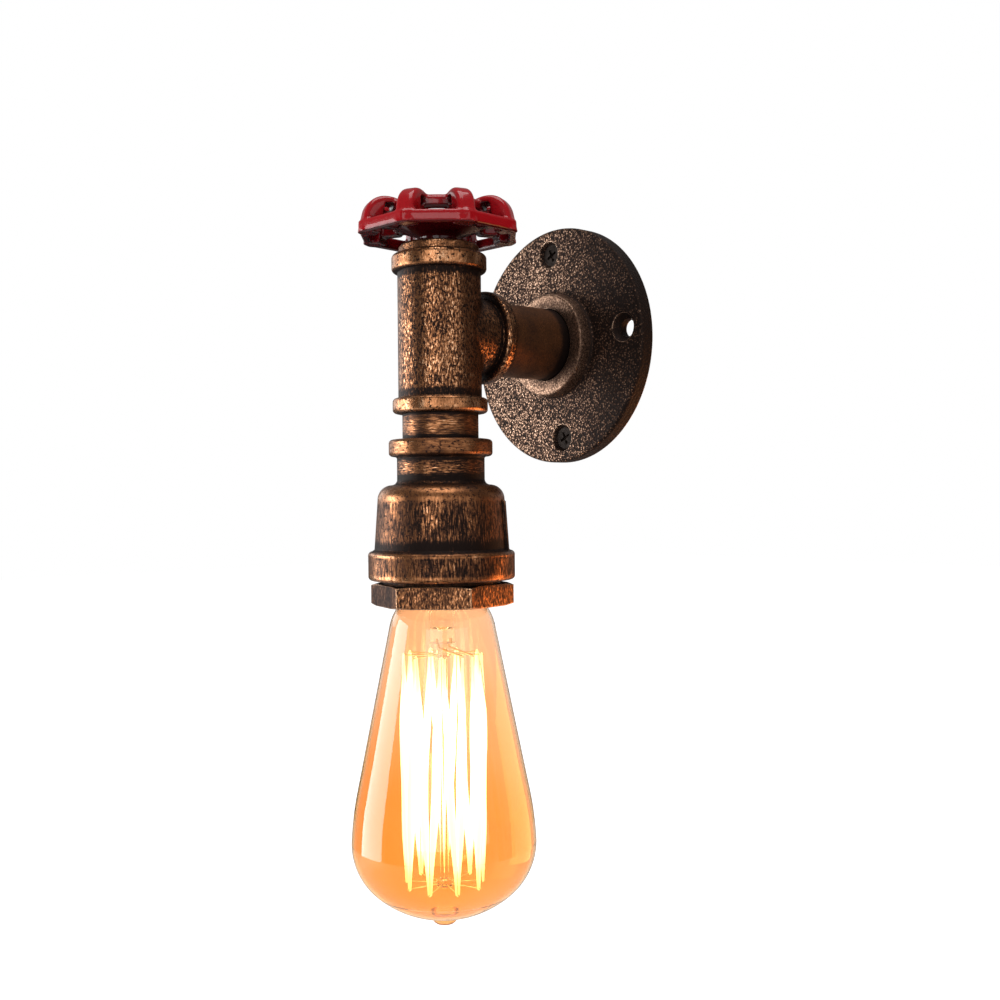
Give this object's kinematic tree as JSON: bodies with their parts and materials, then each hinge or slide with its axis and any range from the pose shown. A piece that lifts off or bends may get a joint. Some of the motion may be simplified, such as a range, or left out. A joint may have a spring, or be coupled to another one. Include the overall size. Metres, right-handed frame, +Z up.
{
  "type": "wall light",
  "caption": "Wall light of pipe fittings: round wall flange, branch pipe, tee with a handwheel on top, reducing bell with hexagon bushing and a hanging pear-shaped filament bulb.",
  "frame": {"origin": "centre of the flange's back face, on the wall", "axes": "+Z up, -Y out of the wall toward the room, X to the right along the wall"},
  "size_m": [0.088, 0.1091, 0.2509],
  "materials": {
    "cast_bronze": "antique bronze finish on cast metal, fine grain, worn copper edges",
    "pipe_bronze": "antique bronze finish on pipe, smooth",
    "hex_bronze": "dark bronze finish, worn bright edges",
    "red_enamel": "glossy red enamel",
    "black_steel": "black oxide",
    "stem_steel": "plated",
    "white_ceramic": "glazed ceramic",
    "contact_brass": "plain brass",
    "brown_sleeve": "insulated lead",
    "blue_sleeve": "insulated lead",
    "block_plastic": "moulded",
    "amber_glass": "amber tinted, glossy",
    "cap_metal": "rolled thread",
    "black_insulator": "black glass",
    "solder": "soft solder",
    "clear_glass": "clear",
    "support_wire": "drawn wire",
    "filament_wire": "glowing filament"
  },
  "bodies": {
    "fixture": {"wall_flange": "cast_bronze", "tee": "cast_bronze", "reducer": "cast_bronze", "branch_nipple": "pipe_bronze", "lower_nipple": "pipe_bronze", "bonnet_plug": "cast_bronze", "hex_bushing": "hex_bronze", "wall_screws": "black_steel", "lampholder": "white_ceramic", "socket_shell": "contact_brass", "centre_contact": "contact_brass", "contact_rivets": "contact_brass", "terminal_posts": "contact_brass", "terminal_screws": "contact_brass", "lead_live": "brown_sleeve", "lead_neutral": "blue_sleeve", "connector_block": "block_plastic", "connector_tubes": "contact_brass", "connector_screws": "stem_steel"},
    "wheel": {"handwheel": "red_enamel", "valve_stem": "stem_steel", "wheel_washer": "stem_steel", "wheel_nut": "stem_steel"},
    "bulb_carrier": {"bulb_tip": "solder"},
    "bulb": {"bulb_glass": "amber_glass", "bulb_cap": "cap_metal", "bulb_insulator": "black_insulator", "bulb_stem": "clear_glass", "filament_hooks": "support_wire", "lead_in_wires": "support_wire", "filament": "filament_wire"}
  },
  "joints": [
    {"name": "handwheel_spin", "type": "hinge", "parent": "fixture", "child": "wheel", "pos_m": [0, -0.061, 0.036], "axis": [0, 0, 1], "continuous": true},
    {"name": "bulb_slide", "type": "slide", "parent": "fixture", "child": "bulb_carrier", "axis": [0, 0, -1], "range_m": [0, 0.018]},
    {"name": "bulb_turn", "type": "hinge", "parent": "bulb_carrier", "child": "bulb", "pos_m": [0, -0.061, -0.09], "axis": [0, 0, -1], "range_deg": [0, 1785]}
  ],
  "couplings": [
    {"joint": "bulb_slide", "follows": "bulb_turn", "m_per_rad": 0.00057757}
  ]
}
